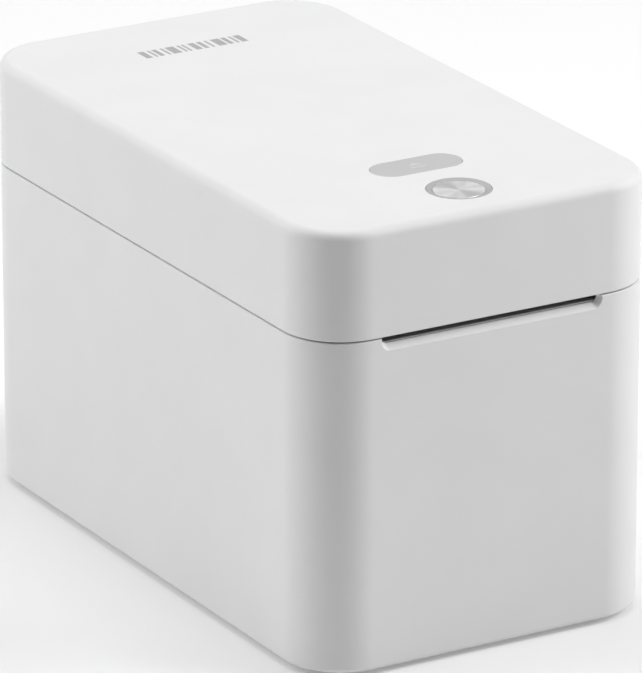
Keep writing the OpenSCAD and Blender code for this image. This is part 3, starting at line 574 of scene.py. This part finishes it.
def build_lower_shell():
    """White case: side wall, bottom rim, label slot, tear bar pocket and hinge knuckles."""
    top = SEAM_Z - SEAM_HALF
    outer = [(inset, BOTTOM_Z + drop) for inset, drop in arc_steps(BOTTOM_FILLET, 6)][::-1]
    outer += [(inset, top - drop) for inset, drop in arc_steps(SEAM_EDGE, 4)]
    inner = [(WALL, top), (WALL, BOTTOM_Z + WALL), (COVER_INSET, BOTTOM_Z + WALL),
             (COVER_INSET, BOTTOM_Z + 0.2 * MM), (COVER_INSET - 0.2 * MM, BOTTOM_Z)]
    bm = bmesh.new()
    loops = stack_loops(bm, outer + inner)
    bridge(bm, loops[-1], loops[0])
    bmesh.ops.recalc_face_normals(bm, faces=bm.faces)
    shell = new_object("lower_shell", bm)
    carve(shell, [
        block("rear_step", (-FAR, HINGE_Y, SEAM_Z - HINGE_RELIEF), (FAR, FAR * 2, SEAM_Z + 5 * MM)),
        cylinder_x("rear_scoop", -FAR, FAR, HINGE_Y, SEAM_Z, HINGE_RELIEF),
        slot_cutter(),
        block("tear_pocket", (-POCKET_HALF, FRONT_Y + LIP_T, POCKET_Z),
              (POCKET_HALF, FRONT_Y + WALL + 1 * MM, SEAM_Z + 5 * MM)),
        tube_y("dc_hole", DC_X, DC_Z, DC_R, HALF_L - WALL - 1 * MM, HALF_L + 1 * MM),
        tube_y("usb_hole", USB_X, USB_Z, USB_R, HALF_L - WALL - 1 * MM, HALF_L + 1 * MM, USB_FLAT_HALF),
    ])
    for side in (-1, 1):
        x0 = side * KNUCKLE_X - KNUCKLE_HALF
        x1 = side * KNUCKLE_X + KNUCKLE_HALF
        carve(shell, [
            cylinder_x("knuckle", x0, x1, HINGE_Y, SEAM_Z, HINGE_R),
            block("knuckle_neck", (x0, HINGE_Y - HINGE_R, SEAM_Z - KNUCKLE_DROP), (x1, HINGE_Y, SEAM_Z)),
            block("knuckle_root", (x0, HINGE_Y - HINGE_R, SEAM_Z - KNUCKLE_DROP),
                  (x1, HALF_L - 1 * MM, SEAM_Z - HINGE_RELIEF)),
        ], "UNION")
    carve(shell, [cylinder_x("pin_bore", -PIN_HALF, PIN_HALF, HINGE_Y, SEAM_Z, PIN_BORE_R, 32)])
    shade(shell, 30)
    weighted(shell)
    place(shell, "base", "case_plastic", ["lower_case"])


def build_lid_shell():
    """White lid: rounded top with the two control holes, and the hinge barrel at the rear."""
    low = SEAM_Z + SEAM_HALF
    ceiling = TOP_Z - WALL
    outer = [(inset, low + drop) for inset, drop in arc_steps(SEAM_EDGE, 4)][::-1]
    outer += [(inset, LID_TOP - drop) for inset, drop in arc_steps(TOP_FILLET, 12)]
    bm = bmesh.new()
    skin = stack_loops(bm, outer)
    inside = stack_loops(bm, [(WALL, low), (WALL, ceiling)])
    bridge(bm, skin[0], inside[0])

    tops, bottoms = [], []
    for maker in (
        lambda grow, z: pill_loop(bm, PILL_Y, z, PILL_HALF_L + BUTTON_GAP + grow,
                                  PILL_HALF_W + BUTTON_GAP + grow),
        lambda grow, z: circle_loop(bm, 0, POWER_Y, z, RING_R + grow),
    ):
        rim = []
        for i in range(5):
            a = math.radians(90 * i / 4)
            rim.append(maker(HOLE_EDGE * (1 - math.sin(a)), LID_TOP - HOLE_EDGE * (1 - math.cos(a))))
        rim.append(maker(0, ceiling))
        for a, b in zip(rim, rim[1:]):
            bridge(bm, a, b)
        tops.append(rim[0])
        bottoms.append(rim[-1])
    fill_between(bm, skin[-1], tops)
    fill_between(bm, inside[-1], bottoms)
    bmesh.ops.recalc_face_normals(bm, faces=bm.faces)
    shell = new_object("lid_skin", bm)

    barrel = cylinder_x("barrel", -FAR, FAR, HINGE_Y, SEAM_Z, HINGE_R)
    bm = bmesh.new()
    prism = stack_loops(bm, [(0, SEAM_Z - 10 * MM), (0, SEAM_Z + 10 * MM)])
    for loop in prism:
        bm.faces.new(loop)
    bmesh.ops.recalc_face_normals(bm, faces=bm.faces)
    carve(barrel, [new_object("barrel_trim", bm)], "INTERSECT")
    carve(shell, [barrel], "UNION")
    carve(shell, [
        cylinder_x("window", side * KNUCKLE_X - KNUCKLE_HALF - HINGE_CLEAR,
                   side * KNUCKLE_X + KNUCKLE_HALF + HINGE_CLEAR, HINGE_Y, SEAM_Z, HINGE_RELIEF)
        for side in (-1, 1)
    ])
    carve(shell, [cylinder_x("pin_hole", -PIN_HALF, PIN_HALF, HINGE_Y, SEAM_Z, PIN_R, 32)])
    shade(shell, 30)
    weighted(shell)
    place(shell, "lid", "case_plastic", ["lid_shell"])


# ---------- lid controls and mark ----------

def rounded_rim(radius, top, edge, steps=4):
    """(radius, z) points of a wall that turns over a rounded edge onto a flat top."""
    return [(radius - inset, top - drop) for inset, drop in arc_steps(edge, steps)]


def build_open_pill():
    """Long grey button with a flange under the lid skin and a stem down to the latch."""
    top = TOP_Z - PILL_DROP
    flange_top = TOP_Z - WALL - 0.15 * MM
    flange_low = flange_top - 1 * MM
    stem_r = 1.2 * MM
    stem_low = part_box("open_button")[0].z
    half_l, half_w = PILL_HALF_L, PILL_HALF_W
    bm = bmesh.new()
    stations = [(1.2 * MM, flange_low), (1.2 * MM, flange_top), (0, flange_top)]
    stations += [(radius, z) for radius, z in rounded_rim(0, top, PILL_EDGE)]
    loops = [pill_loop(bm, PILL_Y, z, half_l + grow, half_w + grow) for grow, z in stations]
    for a, b in zip(loops, loops[1:]):
        bridge(bm, a, b)
    bm.faces.new(loops[-1])
    stem = [circle_loop(bm, 0, PILL_Y, z, stem_r, 32) for z in (flange_low, stem_low)]
    bridge(bm, *stem)
    bm.faces.new(stem[1])
    fill_between(bm, loops[0], [stem[0]])
    bmesh.ops.recalc_face_normals(bm, faces=bm.faces)
    pill = new_object("open_pill", bm)
    weighted(pill)
    place(pill, "open_key", "button_plastic", ["open_button"])

    arrow = ICON_SIZE
    marks = [
        [(-arrow, 0), (arrow, 0), (0, arrow * 0.95)],
        [(-arrow, -0.85 * arrow), (arrow, -0.85 * arrow), (arrow, -0.4 * arrow), (-arrow, -0.4 * arrow)],
    ]
    outlines = [[(x, PILL_Y + y) for x, y in mark] for mark in marks]
    icon = flat_plates("open_icon", outlines, top - 0.05 * MM, top + PRINT_H)
    place(icon, "open_key", "button_plastic")
    icon.data.materials[0] = ICON_INK


def build_power_controls():
    """Plastic trim ring flush with the lid, and the turned metal disc inside it."""
    ceiling = TOP_Z - WALL
    outer, inner = RING_R - 0.1 * MM, DISC_R + 0.1 * MM
    rim_out = rounded_rim(outer, LID_TOP, 0.12 * MM)
    rim_in = [(inner + 0.06 * MM, LID_TOP - RING_DISH), (inner, LID_TOP - RING_DISH - 0.06 * MM)]
    outline = [(DISC_R + 0.85 * MM, ceiling + 0.3 * MM), (DISC_R + 0.85 * MM, ceiling - 0.8 * MM),
               (RING_R + 1.2 * MM, ceiling - 0.8 * MM), (RING_R + 1.2 * MM, ceiling), (outer, ceiling)]
    ring = lathe("power_trim", outline + rim_out + rim_in + [(inner, ceiling + 0.3 * MM)])
    ring.location.y = POWER_Y
    weighted(ring)
    place(ring, "lid", "ring_plastic", ["power_ring"])

    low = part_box("power_button")[0].z
    top = TOP_Z - DISC_DROP
    bevel = 0.05 * MM
    disc = lathe("power_disc", [
        (0, low), (DISC_R + 0.6 * MM, low), (DISC_R + 0.6 * MM, low + 0.8 * MM),
        (DISC_R - 0.9 * MM, low + 0.8 * MM), (DISC_R - 0.9 * MM, TOP_Z - 1.4 * MM),
        (DISC_R, TOP_Z - 1.4 * MM), (DISC_R, top - bevel), (DISC_R - bevel, top), (0, top)], 128)
    disc.location.y = POWER_Y
    place(disc, "power_key", "disc_metal", ["power_button"])


# relative widths of the printed bars and of the gaps after them
MARK_BARS = (1.6, 0.6, 1.1, 0.6, 2.2, 0.6, 0.6, 1.6, 1.1, 0.6, 2.2, 1.1, 0.6, 1.6)
MARK_GAPS = (0.9, 0.6, 1.1, 0.7, 0.9, 0.6, 1.1, 0.7, 0.9, 1.1, 0.6, 0.9, 0.7, 0)


def build_lid_mark():
    """Row of plain upright bars printed across the rear of the lid."""
    scale = (MARK_X1 - MARK_X0) / (sum(MARK_BARS) + sum(MARK_GAPS))
    x = MARK_X0
    outlines = []
    for width, gap in zip(MARK_BARS, MARK_GAPS):
        x1 = x + width * scale
        outlines.append([(x, MARK_Y0), (x1, MARK_Y0), (x1, MARK_Y1), (x, MARK_Y1)])
        x = x1 + gap * scale
    mark = flat_plates("lid_mark", outlines, LID_TOP - 0.1 * MM, TOP_Z)
    place(mark, "lid", "ring_plastic")
    mark.data.materials[0] = MARK_INK


# node, joint, turns, how far it shortens, wire radius; the latch lever tilts, so its spring
# shortens by what the lever's end drops
SPRINGS = (
    ("open_button_spring", "open_press", 5, 2.0 * MM, 0.2 * MM),
    ("latch_spring", "latch_swing", 7, 2.1 * MM, 0.2 * MM),
    ("head_spring_left", "head_tilt", 6, 0.5 * MM, 0.25 * MM),
    ("head_spring_right", "head_tilt", 6, 0.5 * MM, 0.25 * MM),
)


def build_springs():
    """Smooth coils in place of the CAD springs, at the CAD springs' length."""
    for node, joint, turns, travel, wire_r in SPRINGS:
        low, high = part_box(node)
        mid = (low + high) / 2
        radius = (high.x - low.x) / 2 - wire_r
        spring = coil(node + "_coil", mid.x, mid.y, low.z, high.z, radius, wire_r, turns)
        place(spring, "lid", "spring_steel", [node])
        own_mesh(spring)


# ---------- print head ----------

def build_thermal_head():
    """Ceramic plate with its glazed heater line, gold conductor band and sealed driver chips."""
    low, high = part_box("thermal_head")
    chamfer = 0.15 * MM
    skin = 0.04 * MM
    z = low.z + skin
    plate = [(low.y, high.z), (low.y, z + chamfer), (low.y + chamfer, z), (high.y - chamfer, z),
             (high.y, z + chamfer), (high.y, high.z)]
    body = extrude_x("head_ceramic", plate, low.x, high.x)
    place(body, "print_head", "head_ceramic", ["thermal_head"])

    glaze = [(HEATER_Y + 0.9 * MM * math.cos(a), z - skin * math.sin(a))
             for a in [math.pi * i / 12 for i in range(13)]]
    line = extrude_x("heater_glaze", glaze, low.x + 1 * MM, high.x - 1 * MM, 60)
    place(line, "print_head", "head_ceramic")
    line.data.materials[0] = GLAZE

    pitch = 0.5 * MM
    count = int((high.x - low.x - 4 * MM) / pitch)
    x0 = -(count - 1) / 2 * pitch
    traces = []
    y0, y1 = HEATER_Y + 1.1 * MM, high.y - 1.9 * MM
    half = 0.12 * MM
    for i in range(count):
        x = x0 + i * pitch
        traces.append([(x - half, y0), (x + half, y0), (x + half, y1), (x - half, y1)])
    fan = flat_plates("head_traces", traces, z - 0.02 * MM, z + 0.05 * MM)
    place(fan, "print_head", "brass")
    seal_y0, seal_y1 = high.y - 2.0 * MM, high.y - 0.4 * MM
    middle, reach = (seal_y0 + seal_y1) / 2, (seal_y1 - seal_y0) / 2
    dome = [(middle + reach * math.cos(a), z - skin * math.sin(a))
            for a in [math.pi * i / 10 for i in range(11)]]
    seal = extrude_x("driver_seal", dome, low.x + 3 * MM, high.x - 3 * MM, 60)
    place(seal, "print_head", "black_plastic")


# ---------- camera, floor and light ----------

CAMERA_AZIMUTH = -30.13
CAMERA_ELEVATION = 19.92
CAMERA_WIDTHS_AWAY = 18.854
CAMERA_LENS = 394.5
CAMERA_SHIFT = (0.0111, -0.0193)


def aim(obj, target, azimuth, elevation, distance):
    """Stands an object off a target and faces it; azimuth 0 is in front, 90 to the right."""
    a, e = math.radians(azimuth), math.radians(elevation)
    back = Vector((math.sin(a) * math.cos(e), -math.cos(a) * math.cos(e), math.sin(e)))
    obj.location = target + back * distance
    obj.rotation_euler = back.to_track_quat("Z", "Y").to_euler()


def make_camera():
    data = bpy.data.cameras.new("camera")
    data.lens = CAMERA_LENS
    data.sensor_width = 36
    data.shift_x, data.shift_y = CAMERA_SHIFT
    data.clip_start = 0.05
    data.clip_end = 50
    cam = bpy.data.objects.new("camera", data)
    bpy.context.scene.collection.objects.link(cam)
    target = Vector((0, 0, (BOTTOM_Z + TOP_Z) / 2))
    aim(cam, target, CAMERA_AZIMUTH, CAMERA_ELEVATION, CAMERA_WIDTHS_AWAY * 2 * HALF_W)
    bpy.context.scene.camera = cam


def area_light(name, azimuth, elevation, distance, width, height, power):
    """Soft box that faces the middle of the object."""
    data = bpy.data.lights.new(name, "AREA")
    data.shape = "RECTANGLE"
    data.size = width
    data.size_y = height
    data.energy = power
    lamp = bpy.data.objects.new(name, data)
    bpy.context.scene.collection.objects.link(lamp)
    aim(lamp, Vector((0, 0, TOP_Z / 2)), azimuth, elevation, distance)


# name, azimuth, elevation, distance, width, height, power
LIGHTS = (
    ("left_box", -120, 8, 1.6, 0.5, 1.0, 5.9),
    ("left_rear_box", -135, 28, 1.6, 0.5, 0.8, 6.9),
    ("left_high_box", -120, 48, 1.6, 0.5, 0.8, 4.3),
    ("right_box", 65, 28, 1.6, 0.5, 0.8, 13.8),
    ("right_high_box", 50, 48, 1.6, 0.5, 0.8, 6.7),
    ("top_box", 0, 88, 1.6, 0.9, 0.9, 11.4),
    ("back_box", 180, 40, 1.6, 0.9, 0.9, 3.9),
)
WORLD_LIGHT = 0.0
FLOOR_WHITE = (0.74, 0.74, 0.74)
FLOOR_ROUGH = 0.9
FLOOR_GLOW = 0.15


def make_stage():
    bm = bmesh.new()
    bmesh.ops.create_grid(bm, x_segments=4, y_segments=4, size=6)
    floor = new_object("floor", bm)
    mat, shader = principled("floor_white", FLOOR_WHITE, FLOOR_ROUGH)
    shader.inputs["Emission Color"].default_value = (1, 1, 1, 1)
    shader.inputs["Emission Strength"].default_value = FLOOR_GLOW
    mottle(mat, shader, FLOOR_WHITE, 0.004, 3, 0.02, 50, FLOOR_ROUGH, 0.02)
    floor.data.materials.append(mat)
    world = bpy.data.worlds.new("studio")
    world.use_nodes = True
    background = world.node_tree.nodes["Background"]
    background.inputs["Color"].default_value = (1, 1, 1, 1)
    background.inputs["Strength"].default_value = WORLD_LIGHT
    bpy.context.scene.world = world
    for light in LIGHTS:
        area_light(*light)
    bpy.context.scene.view_settings.view_transform = "Standard"


make_camera()
make_stage()
dress_nodes()
build_lower_shell()
build_lid_shell()
build_open_pill()
build_power_controls()
build_lid_mark()
build_springs()
build_thermal_head()
soften_edges()
